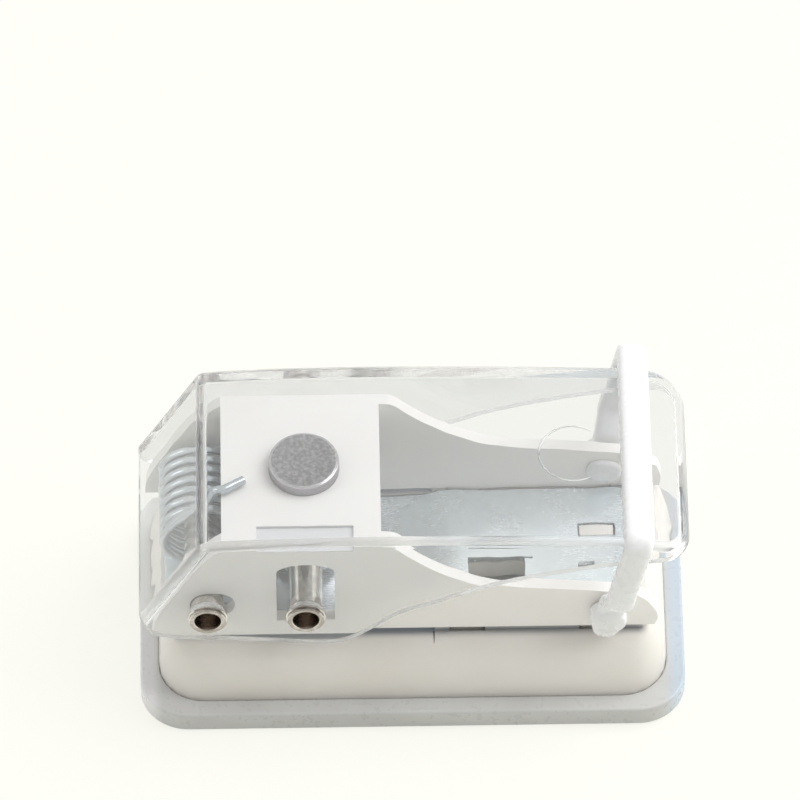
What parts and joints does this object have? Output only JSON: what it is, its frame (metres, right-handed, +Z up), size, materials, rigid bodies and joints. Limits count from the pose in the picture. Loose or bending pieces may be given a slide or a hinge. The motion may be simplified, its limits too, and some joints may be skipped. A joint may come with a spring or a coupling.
{
  "type": "hole punch",
  "caption": "Desktop paper punch with a clear pivoted lever over a moulded frame, a coiled return spring, a swinging hold-down bail and a pull-off chip tray.",
  "frame": {"origin": "middle of the underside of the chip tray, on the surface that the punch stands on", "axes": "+X towards the lever's free end, +Y to the side away from the picture's camera, +Z up"},
  "size_m": [0.101, 0.052, 0.0524],
  "materials": {
    "clear_plastic": "clear, polished",
    "frosted_plastic": "frosted, translucent",
    "milky_plastic": "milky, translucent, soft",
    "white_plastic": "satin white",
    "cream_plastic": "satin cream white",
    "plated_steel": "zinc plated",
    "nickel": "nickel plated",
    "spring_wire": "zinc plated wire",
    "punch_steel": "rough cut steel end"
  },
  "bodies": {
    "root": {"base_shell": "white_plastic", "bed_plate": "plated_steel", "frame": "cream_plastic", "guide_plate": "plated_steel", "torsion_spring": "spring_wire"},
    "lever": {"lever_shell": "clear_plastic", "pivot_pin": "nickel", "drive_pin": "nickel", "pivot_washer_front": "nickel", "pivot_washer_back": "nickel", "drive_washer_front": "nickel", "drive_washer_back": "nickel"},
    "punch": {"punch": "punch_steel"},
    "catch": {"catch_bail": "frosted_plastic"},
    "tray": {"chip_tray": "milky_plastic"}
  },
  "joints": [
    {"name": "lever_press", "type": "hinge", "parent": "root", "child": "lever", "pos_m": [-0.0377, 0, 0.028], "axis": [0, 1, 0], "range_deg": [0, 4.5], "stiffness_Nm_per_rad": 0.5, "springref_deg": -18.91, "deforming": ["torsion_spring"]},
    {"name": "punch_slide", "type": "slide", "parent": "root", "child": "punch", "axis": [0, 0, -1], "range_m": [0, 0.0015]},
    {"name": "catch_swing", "type": "hinge", "parent": "root", "child": "catch", "pos_m": [0.0359, 0, 0.0237], "axis": [0, 1, 0], "range_deg": [0, 90]},
    {"name": "tray_pull", "type": "slide", "parent": "root", "child": "tray", "axis": [0, 0, -1], "range_m": [0, 0.02]}
  ],
  "couplings": [
    {"joint": "punch_slide", "follows": "lever_press", "m_per_rad": 0.018}
  ]
}
